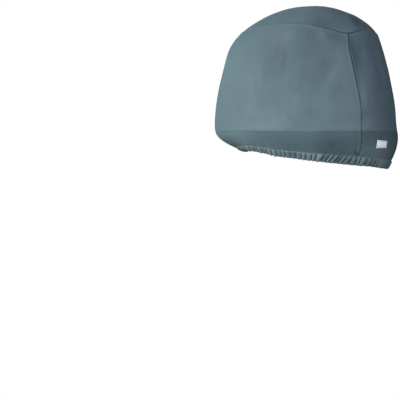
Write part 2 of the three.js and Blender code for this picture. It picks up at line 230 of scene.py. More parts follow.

# Painted light and shade: darker and lighter areas of the walls and hems, of the skirt all round, and of
# the crown
WALL_PAINTED_SHADING = table(
    "direction level lean long wide tone",
    (-126, 1.75, 90, 0.12, 0.25, 0.5),
    (-112, 0.66, -10, 0.16, 0.06, 0.2),
    (-105.5, 0.9, 90, 0.05, 0.012, -0.15),
    (-104.5, 0.57, 0, 0.14, 0.02, 0.14),
    (-100, 0.9, 90, 0.35, 0.08, 0.2),
    (-100, 2.6, 90, 0.35, 0.3, 0.3),
    (-98, 0.965, 90, 0.3, 0.025, 0.22),
    (-92, 0.36, 60, 0.15, 0.09, -0.2),
    (-90, 0.75, 90, 0.1, 0.04, -0.1),
    (-83.5, 0.16, 10, 0.08, 0.05, 0.18),
    (-80.5, 0.39, 8, 0.06, 0.02, -0.14),
    (-72, 0.89, 90, 0.04, 0.015, -0.15),
    (-67.5, 0.73, 10, 0.06, 0.02, 0.16),
    (-66, 0.3, 90, 0.34, 0.16, -0.24),
    (-64, 0.96, 90, 0.1, 0.03, -0.1),
    (-61, 0.3, 60, 0.06, 0.04, -0.1),
    (-56, 0.85, 90, 0.08, 0.04, -0.1),
    (-52, 0.55, 40, 0.2, 0.1, -0.12),
    (-46.5, 0.1, 20, 0.05, 0.03, 0.22),
    (-44.5, 0.38, 0, 0.05, 0.03, -0.12),
    (-44, 0.1, 90, 0.28, 0.09, -0.22),
    (-42, 0.5, 35, 0.12, 0.016, 0.16),
    (-38, 1.62, 90, 0.15, 0.2, -0.2),
    (-37.5, 0.6, 35, 0.08, 0.014, -0.14),
    (-36, 0.96, 90, 0.12, 0.025, 0.14),
    (-36, 2.5, 90, 0.18, 0.3, -0.35),
    (-34, 0.05, 80, 0.12, 0.05, -0.24),
    (-33, 0.25, 6, 0.14, 0.03, 0.14),
    (-28.5, 0.8, -3, 0.2, 0.02, 0.22),
    (-25.6, 1.9, -8, 0.08, 0.014, -0.7),
    (-24.3, 0.26, -3, 0.2, 0.016, -0.55),
    (-23, 0.86, 0, 0.05, 0.02, -0.2),
    (-21.3, 0.67, -4, 0.1, 0.014, 0.35),
    (-20, 0.24, -4, 0.14, 0.035, -0.3),
    (-20, 0.8, 0, 0.06, 0.02, -0.2),
    (-19, 0.93, 0, 0.03, 0.02, 0.3),
    (-15.5, 0.3, -5, 0.1, 0.016, 0.2),
    (-13.5, 0.8, -8, 0.1, 0.02, -0.12),
    (-10, 1.9, 90, 0.2, 0.26, 0.95),
    (-1, 2.5, 90, 0.15, 0.3, 0.9),
)
# Painted shade of the skirt below the crease, and painted light at its front, by direction away from the
# rear
SKIRT_PAINTED_SHADING = table(
    "away tone",
    (0, -0.35), (24, -0.5), (34, -0.38), (46, -0.47), (56, -0.38), (66, -0.36), (88, -0.3),
    (106, -0.06), (120, 0.22), (180, 0.2),
)
# Painted light and shade of the crown, by places on its flat cloth
CROWN_PAINTED_SHADING = table(
    "y x lean long wide tone",
    (-0.04, 0.25, 37, 0.09, 0.045, -0.42),
    (-0.2, 0.16, -35, 0.24, 0.06, -0.42),
    (-0.15, 0.13, -35, 0.08, 0.05, -0.12),
    (-0.24, -0.03, -80, 0.1, 0.05, -0.14),
    (-0.01, 0.07, 60, 0.16, 0.09, 0.25),
    (-0.09, 0.01, 0, 0.34, 0.07, 0.35),
)

# Where the cloth has faded to another hue: how much more or less of each colour it gives back
WALL_HUES = table(
    "direction level lean long wide red green blue",
    (-145, 0.7, 0, 0.3, 0.12, -0.08, -0.02, 0.04),
    (-136, 0.15, 0, 0.2, 0.2, -0.09, 0.02, 0),
    (-120, 1.4, 90, 0.4, 0.14, -0.12, 0.01, 0.02),
    (-100, 0.25, 90, 0.3, 0.12, 0.01, -0.035, 0.01),
    (-60, 1.5, 90, 0.5, 0.16, -0.06, -0.01, 0.02),
    (-17, 0.8, -5, 0.24, 0.08, 0.03, -0.04, -0.01),
    (-12, 0.3, -5, 0.34, 0.1, -0.04, -0.06, 0.09),
    (-3, 2.4, 90, 0.2, 0.3, 0.08, -0.01, -0.05),
    (12, 0.8, 0, 0.4, 0.1, -0.1, 0.01, 0.03),
    (80, 0.3, 60, 0.3, 0.12, -0.06, -0.01, 0.03),
    (150, 0.6, 20, 0.3, 0.14, -0.07, 0, 0.02),
)
CROWN_HUES = table(
    "y x lean long wide red green blue",
    (-0.03, -0.02, 0, 0.6, 0.6, -0.09, -0.02, 0.04),
)

# The wall panels: the piece that shows each, its upright seams and whether they have strips, its
# gathers, the seed of its unevenness, and its cut size and area
PANELS = {
    "side_panel_port": dict(
        piece="port_cloth", start=(-180, 1), end=(0, -1), strips=True, gathers=33, seed=100,
        cut=(0.92, 0.68), area=0.47,
    ),
    "rear_panel": dict(
        piece="rear_cloth", start=(0, -1), end=(0, 1), strips=False, gathers=13, seed=200,
        cut=(0.38, 0.68), area=0.2,
    ),
    "side_panel_starboard": dict(
        piece="starboard_cloth", start=(0, 1), end=(180, -1), strips=True, gathers=33, seed=300,
        cut=(0.92, 0.68), area=0.47,
    ),
    "front_panel": dict(
        piece="front_cloth", start=(180, -1), end=(180, 1), strips=False, gathers=11, seed=400,
        cut=(0.38, 0.62), area=0.18,
    ),
}
CROWN_SEED = 500

# Seams. The side panels' allowance lies under a raised strip beside each upright seam, and the
# walls' allowance under a strip below the crown seam. Two rows of stitches hold each strip. A dip or
# a line is given as its height and width.
STRIP_WIDTH = 0.012
STRIP_EDGE = 0.0015
STRIP_RISE = 0.0011
GROOVE_DEPTH = 0.0016
STRIP_GROOVE = 0.0022
PLAIN_GROOVE = 0.007
STITCH_ROWS = (0.0028, 0.0092)
STITCH_DIP = (0.0003, 0.0012)

# A seam's painted shadow line, and how much lighter the strip beside it has worn and where
SEAM_SHADOW_LINE = (0.9, 0.0032)
UPRIGHT_WORN = 0.2
CROWN_WORN = 0.05
WORN_BAND = (0.002, 0.004, 0.011, 0.014)

# Puckers beside a seam: their height, length and reach, and how they change and wander along it. Round
# the crown they are counted, and change and wander by waves round it and where these start.
PUCKER_RISE = 0.00035
PUCKER_PITCH = 0.017
PUCKER_REACH = 0.02
PUCKER_START = 0.003
PUCKER_CHANGE = 0.45
PUCKER_CHANGE_LONG = 0.047
PUCKER_WANDER = table("long share", (0.071, 0.4), (0.031, 0.3))
CROWN_PUCKERS = 94
CROWN_PUCKER_WANDER = table("high waves start", (1.5, 3, 1), (1, 7, 2))
CROWN_PUCKER_CHANGE = (5, 3)

# Ripples of the worn cloth: how many, how high and long, how they turn and bend, and how far they
# keep from an edge
RIPPLES = 14
RIPPLE_RISE = 0.00022
RIPPLE_LONG = (0.035, 0.12)
RIPPLE_TURN = 0.6
RIPPLE_BEND = (0.004, 0.012)
RIPPLE_BEND_LONG = 0.05
RIPPLE_CLEAR = 0.03

# Where folds and creases fade out: on the walls, on the skirt and beside the crown seam
WALL_BAND = (-0.05, 0.15, 0.8, 1)
SKIRT_BAND = (1.02, 1.15, 1.95, 2.1)
CROWN_CLEAR = 0.01

# How sharp the lesser creases are, the ridge of the crease above the skirt, how softly the skirt's
# painted shade starts below it and ends at the neck, and the tone of the inner faces
CREASE_SHARPNESS = 1.6
CREASE_RISE = 0.0015
CREASE_REACH_UP = 0.03
CREASE_REACH_DOWN = 0.006
SHARP_TONE_EDGE = 0.006
ROUND_TONE_EDGE = 0.03
SKIRT_TONE_END = (1.9, 2.05)
INSIDE_TONE = -0.2

# The gathered hem, by depth below its neck
HEM_PROFILE = table(
    "depth proud gathered",
    (0, -0.0006, 0.3), (0.05, 0.0002, 0.55), (0.12, 0.0012, 0.9), (0.3, 0.0018, 1),
    (0.62, 0.0018, 1), (0.85, 0.0014, 0.92), (1, 0.001, 0.8),
)

# The gathers: how high they rise, and the least and the most of each one's width and height, of its
# reach above the neck and of the depth at which its groove opens
GATHER_RISE = 0.0056
GATHER_MIDDLE = 0.55
GATHER_SHARPNESS = 2
GATHER_WIDE = (0.55, 1.45)
GATHER_HIGH = (0.5, 1.45)
NECK_REACH = (0.0052, 0.0234)
GROOVE_START = (0, 0.28)
GROOVE_OPENS = 0.22
GROOVE_LEAST = 0.35
GATHER_CREST = 0.45
INNER_GATHER = 0.6
HEM_BLEND = 0.004

# How far the gathers lean and how near a seam they stay upright, in pitches, and in degrees from the
# rear where they start to lean, lean fully, lean less and are upright again
SLANT_PITCHES = 0.75
SLANT_CLEAR_PITCHES = 1.5
SLANT_BAND = (12, 22, 42, 56)

# Painted light on a gather's ridge and painted shade in its groove, and the painted shadow line of the neck
GATHER_LIGHT_AND_SHADE = 1.5
NECK_SHADOW_LINE = (0.12, 0.004)
NECK_LINE_ABOVE = 0.001

# Spacing of the meshes' rows and columns, as distances from a seam or from the crease
SEAM_STEPS = np.array([0, 1.1, 2.2, 3.2, 4.4, 6, 7.6, 9, 10.4, 11.8, 13.4, 15.6, 18.4, 22, 26.5]) / 1000
CREASE_STEPS = np.array([1.2, 2.6, 4.4, 6.8, 10, 14.5, 20]) / 1000
GATHER_STEPS = np.array([0, 0.035, 0.09, 0.17, 0.27, 0.38, 0.5, 0.62, 0.73, 0.83, 0.91, 0.965])
ROW_PITCH = 0.0085
WALL_LENGTH = 0.49
SKIRT_LENGTH = 0.1
SKIRT_ROWS = 14
NECK_LEVELS = (1.78, 1.83, 1.87, 1.905, 1.935, 1.96, 1.98)
HEM_LEVELS = (2, 2.03, 2.06, 2.09, 2.13, 2.18, 2.25, 2.35, 2.47, 2.6, 2.72, 2.82, 2.9, 2.96, 3)
HEM_TURNS = (25, 55, 90, 125, 155)
HEM_TURN_PITCH = 0.001
CREASE_SAMPLES = 1601
CROWN_COLUMNS = 320
CROWN_LENGTH = 0.3
CROWN_HALVINGS = (0.5, 0.25, 0.12, 0.06)

# Stitches: each is a thread through rings, placed along it and up from the cloth, in shares of its
# length and thickness. It is aimed by the points of its seam a step behind and ahead, and the hem's
# stitches follow a row of the mesh below the neck.
STITCH_PITCH = 0.0046
STITCH_LONG = 0.0036
STITCH_RINGS = table(
    "along up thick",
    (-0.5, -0.5, 0.5), (-0.34, 0.15, 0.9), (0, 0.4, 1), (0.34, 0.15, 0.9), (0.5, -0.5, 0.5),
)
THREAD = 0.0009
THREAD_SIDES = 6
HEM_STITCH_ROW = 2
AIM_STEP = 0.001

# The sewn-on label, which narrows a little towards starboard, swells inside its stitches and curls
# away from the skirt at its lower corners
LABEL_WIDTH = 0.07
LABEL_PORT_HEIGHT = 0.034
LABEL_STARBOARD_HEIGHT = 0.028
LABEL_THICK = 0.001
LABEL_OFF = 0.0003
LABEL_DIRECTION = -8
LABEL_LEVEL = 1.49
LABEL_COLUMNS = 44
LABEL_ROWS = 18
LABEL_CURL = 0.0012
LABEL_CURL_FROM = 0.8
LABEL_SWELL = 0.0004
LABEL_SWELL_INSET = 0.009
LABEL_STITCH_INSET = 0.0032
LABEL_STITCH_DIP = (0.0002, 0.0008)
# Painted shade along the label's stitches: how dark and how wide
LABEL_STITCH_SHADE = (-0.2, 0.001)

# Colours, how soiled the label is, and the spacing of yarns and of the label's ribs
CLOTH_COLOUR = (0.085, 0.124, 0.139, 1)
# Lighter cloth: for its worn strips and where light is painted on
WORN_AND_LIT_COLOUR = (0.135, 0.182, 0.2, 1)
# Darker cloth: where shade and shadow lines are painted on, and for the inner faces
DARK_COLOUR = (0.024, 0.04, 0.048, 1)
THREAD_COLOUR = (0.066, 0.1, 0.113, 1)
FADED_THREAD_COLOUR = (0.115, 0.157, 0.173, 1)
LABEL_COLOUR = (0.98, 0.98, 0.94, 1)
# The label's soiled colour, towards which both its soil and the painted shade along its stitches turn it
SOILED_AND_SHADED_LABEL_COLOUR = (0.7, 0.7, 0.64, 1)
LABEL_SOIL = 0.16
STUDIO_COLOUR = (1, 1, 1, 1)
YARN = 0.0011
LABEL_RIB = 0.0007

# The stage: a wide pale floor that turns up into a backdrop all round
FLOOR_LEVEL = -2.6
FLOOR_RADIUS = 7
FLOOR_SIDES = 96
BACKDROP_TURN = 3
BACKDROP_TURN_STEPS = 12
BACKDROP_HEIGHT = 12

# Lights round the middle of the cover: soft boxes, the last one faint and from below
COVER_MIDDLE = np.array([-CROWN_SHIFT, 0, -0.34])
LIGHTS = table(
    "azimuth elevation distance watts red green blue",
    (-65, 10, 3.6, 155, 0.93, 0.97, 1),
    (-5, 10, 3.6, 128, 1, 0.98, 0.94),
    (55, 10, 3.6, 88, 0.9, 0.93, 1),
    (215, 14, 3.6, 140, 0.95, 0.98, 1),
    (20, -70, 2.4, 8, 1, 1, 1),
)
LIGHT_SIZE = 2.4
WORLD_COLOUR = (0.7, 0.88, 1, 1)
WORLD_STRENGTH = 0.08


# Tables and shapes of curves
def column(rows, name, at):
    """Smooth value of a table's column by its first column, flat at both of the table's ends."""
    keys, values = next(iter(rows.values())), rows[name]
    place = np.clip(at, keys[0], keys[-1])
    slopes = np.zeros(len(keys))
    slopes[1:-1] = (values[2:] - values[:-2]) / (keys[2:] - keys[:-2])
    i = np.clip(np.searchsorted(keys, place, side="right") - 1, 0, len(keys) - 2)
    span = keys[i + 1] - keys[i]
    s = (place - keys[i]) / span
    return (
        values[i] * (2 * s**3 - 3 * s**2 + 1)
        + slopes[i] * span * (s**3 - 2 * s**2 + s)
        + values[i + 1] * (3 * s**2 - 2 * s**3)
        + slopes[i + 1] * span * (s**3 - s**2)
    )


def smoothstep(value, low, high):
    """0 up to the low end, 1 from the high end on, and smooth between them."""
    s = np.clip((value - low) / (high - low), 0, 1)
    return s * s * (3 - 2 * s)


def plateau(value, start, full, falling, end):
    """0 up to the start, 1 while full, and 0 again from the end on."""
    return smoothstep(value, start, full) * (1 - smoothstep(value, falling, end))


def bell(distance, high, wide):
    """A dip's or a line's height at a distance from its middle."""
    return high * np.exp(-((distance / wide) ** 2))


def length(vectors):
    """The lengths of vectors."""
    return np.linalg.norm(vectors, axis=-1)


def unit(vectors):
    """The same vectors, made 1 long."""
    return vectors / np.maximum(length(vectors), 1e-12)[..., None]


def uneven(number, low=0, high=1):
    """A repeatable uneven number between two ends."""
    wave = np.sin(number * 12.9898 + 4.1) * 43758.5453
    return low + (high - low) * (wave - np.floor(wave))


def run_along(points, axis):
    """Distance run along a line, or along a grid's rows or columns."""
    steps = length(np.diff(points, axis=axis))
    start = np.zeros_like(np.take(steps, [0], axis=axis))
    return np.concatenate([start, np.cumsum(steps, axis=axis)], axis=axis)


def line_points(line, run, wanted):
    """Points of a line at wanted distances, by the distance run to each of its own points."""
    return np.stack([np.interp(wanted, run, values) for values in line.T], -1)


# The smooth skin
def signed(direction):
    """The same direction, between -180 and 180 degrees."""
    return (direction + 180) % 360 - 180


def away_from_rear(direction):
    """Degrees away from the rear, from 0 to 180."""
    return np.abs(signed(direction))


def skirt_value(name, direction):
    return column(SKIRT, name, away_from_rear(direction))


def plan_points(direction, share):
    """Points of a plan section, which lies at a share of the way from the crown down to the walls."""
    cos = np.cos(np.radians(direction))
    sin = np.sin(np.radians(direction))
    halves = zip(REAR_PLAN, FRONT_PLAN)
    half_length, crown, wall = (np.where(cos > 0, rear, front) for rear, front in halves)
    squareness = crown + (wall - crown) * share
    total = np.abs(cos / half_length) ** squareness + np.abs(sin / HALF_WIDTH) ** squareness
    return np.stack([cos, sin], -1) * (total ** (-1 / squareness))[..., None]


def drawn_in(plan, inward, share=1):
    """A share of the way out to plan points, drawn in towards the middle."""
    return plan * (share - inward / length(plan))[..., None]


def above_points(direction, angle):
    """Points of the crown or of a wall, from the middle of the crease plane."""
    reach = column(OUTLINE, "reach", angle)
    out = reach * np.sin(np.radians(angle))
    up = reach * np.cos(np.radians(angle))
    plan = plan_points(direction, smoothstep(angle, 0, WALL_FROM_ANGLE))
    rounding = np.clip((angle - ROUND_FROM_ANGLE) / (90 - ROUND_FROM_ANGLE), 0, 1) ** 2
    plan = drawn_in(plan, skirt_value("round", direction) * rounding, out)
    x = plan[..., 0] + CROWN_SHIFT * smoothstep(up, *SHIFT_BAND)
    return np.stack([x, plan[..., 1], CREASE_TO_CROWN * up], -1)


def below_points(direction, level):
    """Points of the skirt or hem, from the middle of the crease plane."""
    skirt = {name: skirt_value(name, direction) for name in SKIRT}
    down = np.minimum(level - 1, 1)
    along = skirt["hem"] * np.maximum(level - 2, 0)
    lean = np.radians(skirt["lean"])
    sag = REAR_SAG * np.sin(2 * np.radians(direction)) * (away_from_rear(direction) < 90)
    drop = (skirt["drop"] + sag) * down + along * np.cos(lean)
    curled = down ** skirt["curl"] * (1 - skirt["straight"]) + down * skirt["straight"]
    bulge = skirt["bulge"] * np.sin(math.pi * down**BULGE_POWER)
    inward = skirt["round"] + (skirt["inward"] - skirt["round"]) * curled - bulge + along * np.sin(lean)
    return np.concatenate([drawn_in(plan_points(direction, 1), inward), -drop[..., None]], -1)


def skin(direction, level):
    """Points of the smooth skin, without folds or gathers."""
    direction, level = np.broadcast_arrays(direction, level)
    seam = column(CROWN_SEAM, "angle", away_from_rear(direction))
    angle = np.where(level <= 0, seam * (level + 1), seam + (90 - seam) * level)
    above = above_points(direction, np.clip(angle, 0, 90))
    below = below_points(direction, np.maximum(level, 1))
    points = np.where((level <= 1)[..., None], above, below)
    return points + CREASE_MIDDLE


def outward(direction, level):
    """The skin's outward normals, from its slopes over a small turn and a small step of level."""
    turn = 0.05
    step = 0.004
    around = skin(direction + turn, level) - skin(direction - turn, level)
    down = skin(direction, np.minimum(level + step, 3)) - skin(direction, np.maximum(level - step, -1))
    return unit(np.cross(down, around))


# Folds, creases and areas of another tone or hue
def marks(rows, across, down, girth=GIRTH_PER_DEGREE, run=WALL_RUN, sharpness=2):
    """How strong each mark of a table is at places, and its amounts. A mark is upright until it leans."""
    for middle, at, lean, long, wide, *amounts in zip(*rows.values()):
        aside = signed(across - middle) * girth
        below = (down - at) * run
        cos = math.cos(math.radians(lean))
        sin = math.sin(math.radians(lean))
        u = (aside * cos + below * sin) / wide
        v = (below * cos - aside * sin) / long
        yield np.exp(-2 * (np.abs(u) ** sharpness + 2 * v * v)), amounts


def summed(rows, *places, **how):
    """How far a table of folds lifts the cloth, or how much a table of tones lightens it."""
    return sum(mark * amount for mark, (amount,) in marks(rows, *places, **how))


def hue_of(rows, *places, **how):
    """How much of each colour the cloth gives back, by a table of hues."""
    return 1 + sum(mark[..., None] * colour for mark, colour in marks(rows, *places, **how))


def slack(direction, level):
    """How far the slack cloth stands out from the smooth skin."""
    folds = summed(FOLDS, direction, level) + summed(CREASES, direction, level, sharpness=CREASE_SHARPNESS)
    skirt = summed(SKIRT_CREASES, direction, level, run=SKIRT_LENGTH, sharpness=CREASE_SHARPNESS)
    return folds * plateau(level, *WALL_BAND) + skirt * plateau(level, *SKIRT_BAND)


def ripples(flat, seed):
    """Shallow unevenness of worn cloth over its flat places."""
    draws = np.random.default_rng(seed)
    u, v = flat[..., 0], flat[..., 1]
    rise = np.zeros(u.shape)
    for _ in range(RIPPLES):
        wave = draws.uniform(*RIPPLE_LONG)
        turn = draws.normal(0, RIPPLE_TURN)
        phase = draws.uniform(0, 2 * math.pi)
        bend = draws.uniform(*RIPPLE_BEND) * np.sin(v / RIPPLE_BEND_LONG + phase)
        run = u * math.cos(turn) + v * math.sin(turn) + bend
        rise += wave / RIPPLE_LONG[1] * np.sin(2 * math.pi * run / wave + phase)
    return RIPPLE_RISE * rise / math.sqrt(RIPPLES)


# Seams
def seam_direction(seam, level):
    """Direction of an upright seam, given as the middle of its end panel and the side that it is on."""
    middle, side = seam
    return middle + side * column(CORNER_SEAM, "away", level)


def plain_relief(distance):
    """Beside a seam where the cloth has no strip: a trough down to the seam."""
    return -GROOVE_DEPTH * np.clip(1 - distance / PLAIN_GROOVE, 0, 1) ** 2


def strip_relief(distance):
    """Beside a seam where the cloth has a strip, which dips along each row of stitches."""
    rise = STRIP_RISE * (1 - smoothstep(distance, STRIP_WIDTH - STRIP_EDGE, STRIP_WIDTH + STRIP_EDGE))
    for row in STITCH_ROWS:
        rise = rise - bell(distance - row, *STITCH_DIP)
    return rise - (GROOVE_DEPTH + STRIP_RISE) * np.clip(1 - distance / STRIP_GROOVE, 0, 1) ** 2


def seam_tone(distance, worn):
    """Painted shadow in a seam's groove, and lighter on the strip beside it by how worn that is."""
    return worn * plateau(distance, *WORN_BAND) - bell(distance, *SEAM_SHADOW_LINE)


def crown_shadow_line(direction):
    """How dark the crown seam's painted shadow line is."""
    return column(CROWN_SEAM_SHADOW_LINE, "dark", signed(direction))


def puckers(phase, change_phase, distance):
    """Small puckers that the stitches draw beside a seam, by the phases of their waves and height."""
    height = 1 - PUCKER_CHANGE * (1 - np.sin(change_phase))
    fade = np.exp(-distance / PUCKER_REACH) * smoothstep(distance, 0, PUCKER_START)
    return PUCKER_RISE * height * np.sin(phase) * fade


def wall_puckers(along, distance, seed):
    """Puckers of a wall beside one of its seams."""
    wander = 0
    for i, (long, share) in enumerate(zip(*PUCKER_WANDER.values())):
        wander = wander + share * np.sin(along / long + (i + 1) * seed)
    phase = 2 * math.pi * (along / PUCKER_PITCH + wander)
    return puckers(phase, along / PUCKER_CHANGE_LONG + 3 * seed, distance)


def crown_puckers(turn, distance):
    """Puckers of the crown beside its seam, which meet where they have gone all round."""
    phase = CROWN_PUCKERS * turn
    for high, waves, start in zip(*CROWN_PUCKER_WANDER.values()):
        phase = phase + high * np.sin(waves * turn + start)
    waves, start = CROWN_PUCKER_CHANGE
    return puckers(phase, waves * turn + start, distance)


# The gathered hem
def gathers_of(panel):
    """Shares across a panel at which its gathers start, and how high each stands."""
    each = panel["seed"] + np.arange(panel["gathers"])
    widths = uneven(each, *GATHER_WIDE)
    return np.concatenate([[0], np.cumsum(widths)]) / widths.sum(), uneven(each + 0.5, *GATHER_HIGH)


def slant(direction, depth, pitch, pitches_to_seam):
    """How far a gather lies ahead of its place at the neck, at a depth below the neck."""
    leaning = plateau(away_from_rear(direction), *SLANT_BAND)
    clear = np.minimum(1, pitches_to_seam / SLANT_CLEAR_PITCHES)
    return np.sign(direction) * leaning * clear * SLANT_PITCHES * pitch * depth


def opening(panel, which, within, away, depth):
    """How far the grooves between gathers have opened. Away from the rear each starts at its own depth."""
    starts = uneven(panel["seed"] + 0.7 + np.stack([which, which + 1]), *GROOVE_START)
    starts = starts * smoothstep(away, *SLANT_BAND[2:]) - GROOVE_OPENS / 2
    opened = smoothstep(depth - starts[:, None, :], 0, GROOVE_OPENS)
    left, right = GROOVE_LEAST + (1 - GROOVE_LEAST) * opened
    return left + (right - left) * smoothstep(within, 0, 1)


def gather_height(panel, grid):
    """Height of the gathers in shares of their rise, fading above the neck, and the hem's own rise."""
    starts, highs = gathers_of(panel)
    which = np.clip(np.searchsorted(starts, grid.shares, side="right") - 1, 0, len(highs) - 1)
    within = (grid.shares - starts[which]) / (starts[which + 1] - starts[which])
    shape = highs[which] * (1 - np.abs(2 * within - 1) ** GATHER_SHARPNESS) - GATHER_MIDDLE
    depth = np.clip(grid.level - 2, 0, 1)
    shape = GATHER_CREST + (shape - GATHER_CREST) * opening(panel, which, within, grid.away, depth)
    reach = uneven(panel["seed"] + which + 0.25, *NECK_REACH)
    fade = np.exp(-np.maximum(grid.to_neck, 0) / reach) * (grid.level > 1)
    height = shape * column(HEM_PROFILE, "gathered", depth) * fade
    return height, column(HEM_PROFILE, "proud", depth) * fade


# The wall panels
def row_levels():
    """Levels of a wall panel's rows, from the crown seam to the hem's lower edge."""
    upper = SEAM_STEPS / WALL_LENGTH
    lower = 1 - CREASE_STEPS[::-1] / WALL_LENGTH
    count = round((lower[0] - upper[-1]) * WALL_LENGTH / ROW_PITCH)
    middle = np.linspace(upper[-1], lower[0], count + 1)[1:-1]
    skirt_top = 1 + CREASE_STEPS / SKIRT_LENGTH
    skirt = np.linspace(skirt_top[-1], NECK_LEVELS[0], SKIRT_ROWS)[1:-1]
    return np.concatenate([upper, middle, lower, [1], skirt_top, skirt, NECK_LEVELS, HEM_LEVELS])


def column_shares(panel, run):
    """Shares across a panel of its columns: close together beside its seams and in its gathers' grooves."""
    starts, _ = gathers_of(panel)
    steps = (starts[:-1, None] + np.diff(starts)[:, None] * GATHER_STEPS).ravel()
    beside = SEAM_STEPS / run
    middle = steps[(steps > beside[-1]) & (steps < 1 - beside[-1])]
    return np.concatenate([beside, middle, 1 - beside[::-1]])


def panel_places(panel):
    """A wall panel's rows and columns of places on the smooth skin, and their distances from its seams."""
    level = row_levels()[:, None]
    crease_row, neck_row = (np.flatnonzero(level == whole)[0] for whole in (1, 2))
    first, last = (seam_direction(panel[seam], level) for seam in ("start", "end"))
    start, end = first[crease_row], last[crease_row]

    # Columns are set out along the crease
    steps = np.linspace(0, 1, CREASE_SAMPLES)
    runs = run_along(plan_points(start + (end - start) * steps, 1), 0)
    shares = column_shares(panel, runs[-1])
    straight = first + (last - first) * np.interp(shares * runs[-1], runs, steps)

    # The gathers slant, and fade above the neck
    pitch = (end - start) / panel["gathers"]
    above = (level - 2) * skirt_value("drop", straight) / skirt_value("hem", straight)
    depth = np.where(level >= 2, level - 2, np.expm1(np.minimum(above, 0))) * (level > 1)
    to_seam = np.minimum(shares, 1 - shares) * panel["gathers"]
    direction = straight + slant(straight, depth, pitch, to_seam)

    smooth = skin(direction, level)
    across = run_along(smooth, 1)
    down = run_along(smooth, 0)
    to_neck = down[neck_row] - down
    return SimpleNamespace(
        level=level, direction=direction, shares=shares, away=away_from_rear(straight[-1]),
        smooth=smooth, normal=outward(direction, level), across=across, from_end=across[:, -1:] - across,
        down=down, to_crease=down[crease_row] - down, to_neck=to_neck, neck_row=neck_row,
        above_hem=smoothstep(to_neck, -HEM_BLEND, HEM_BLEND),
        sharp=1 - skirt_value("round", direction) / MOST_ROUND,
        flat=np.stack([across - across[:, -1:] / 2, -down], -1),
    )


def body_relief(grid, seed):
    """Relief of both faces: folds, ripples, the crease's ridge and the puckers beside the seams."""
    edges = (grid.across, grid.from_end, grid.down, np.abs(grid.to_crease), grid.to_neck)
    clear = smoothstep(np.minimum.reduce(edges), 0, RIPPLE_CLEAR)
    rising = np.clip(1 - grid.to_crease / CREASE_REACH_UP, 0, 1) ** 2
    falling = np.clip(1 + grid.to_crease / CREASE_REACH_DOWN, 0, 1) ** 2
    ridge = CREASE_RISE * grid.sharp * np.where(grid.to_crease >= 0, rising, falling)
    relief = slack(grid.direction, grid.level) + ripples(grid.flat, seed) * clear + ridge
    relief = relief + wall_puckers(grid.flat[..., 0], grid.down, seed + 1)
    for i, distance in enumerate((grid.across, grid.from_end)):
        relief = relief + wall_puckers(grid.down, distance, seed + 2 + i) * grid.above_hem
    return relief


def panel_tone(grid, gathers, worn):
    """Tone of the outer face: painted shadow lines of its seams and neck, lighter worn strips beside its
    seams, and painted light and shade on its gathers, its skirt and its own areas.
    """
    upright = seam_tone(np.minimum(grid.across, grid.from_end), worn) * grid.above_hem
    tone = upright * column(CORNER_SEAM, "dark", grid.level)
    tone = tone + seam_tone(grid.down, CROWN_WORN) * crown_shadow_line(grid.direction)
    tone = tone + GATHER_LIGHT_AND_SHADE * gathers - bell(grid.to_neck - NECK_LINE_ABOVE, *NECK_SHADOW_LINE)
    # Painted shade on the skirt from the crease down to the neck, and painted light at its front
    edge = ROUND_TONE_EDGE + (SHARP_TONE_EDGE - ROUND_TONE_EDGE) * grid.sharp
    in_skirt = smoothstep(-grid.to_crease, 0, edge) * (1 - smoothstep(grid.level, *SKIRT_TONE_END))
    tone = tone + column(SKIRT_PAINTED_SHADING, "tone", away_from_rear(grid.direction)) * in_skirt
    return tone + summed(WALL_PAINTED_SHADING, grid.direction, grid.level)


def panel_grid(panel):
    """A wall panel's outer and inner faces as grids of points, with their flat places, tone and hue."""
    grid = panel_places(panel)
    gathers, proud = gather_height(panel, grid)
    hem = proud + GATHER_RISE * gathers
    upright_relief = strip_relief if panel["strips"] else plain_relief
    face = (upright_relief(grid.across) + upright_relief(grid.from_end)) * grid.above_hem
    face = face + strip_relief(grid.down)
    body = body_relief(grid, panel["seed"])
    grid.outer = grid.smooth + grid.normal * (body + face + hem)[..., None]
    grid.inner = grid.smooth + grid.normal * (body + INNER_GATHER * hem - CLOTH)[..., None]
    tone = panel_tone(grid, gathers, UPRIGHT_WORN * panel["strips"])
    hue = hue_of(WALL_HUES, grid.direction, grid.level)
    grid.paint = {"tone": (tone, np.full_like(tone, INSIDE_TONE)), "hue": (hue, hue)}
    return grid


def hem_turn(grid):
    """Rows that round the hem's lower edge from the outer face to the inner one."""
    middle = (grid.outer[-1] + grid.inner[-1]) / 2
    half = (grid.outer[-1] - grid.inner[-1]) / 2
    down = unit(grid.outer[-1] - grid.outer[-2]) * length(half)[..., None]
    turns = [math.radians(turn) for turn in HEM_TURNS]
    return [middle + half * math.cos(turn) + down * math.sin(turn) for turn in turns]


# Mesh objects
def new_object(name, points, faces, flats=None, paint=None):
    """A smooth mesh object, with flat places as its UV map and its paint, such as tone, as attributes."""
    mesh = bpy.data.meshes.new(name)
    mesh.from_pydata(np.asarray(points).tolist(), [], faces)
    mesh.shade_smooth()
    if flats is not None:
        corners = np.zeros(len(mesh.loops), np.int32)
        mesh.loops.foreach_get("vertex_index", corners)
        layer = mesh.uv_layers.new(name="flat")
        layer.data.foreach_set("uv", flats[corners].astype(np.float32).ravel())
    for key, values in (paint or {}).items():
        kind, field = ("FLOAT", "value") if values.ndim == 1 else ("FLOAT_VECTOR", "vector")
        attribute = mesh.attributes.new(key, kind, "POINT")
        attribute.data.foreach_set(field, values.astype(np.float32).ravel())
    obj = bpy.data.objects.new(name, mesh)
    bpy.context.scene.collection.objects.link(obj)
    return obj


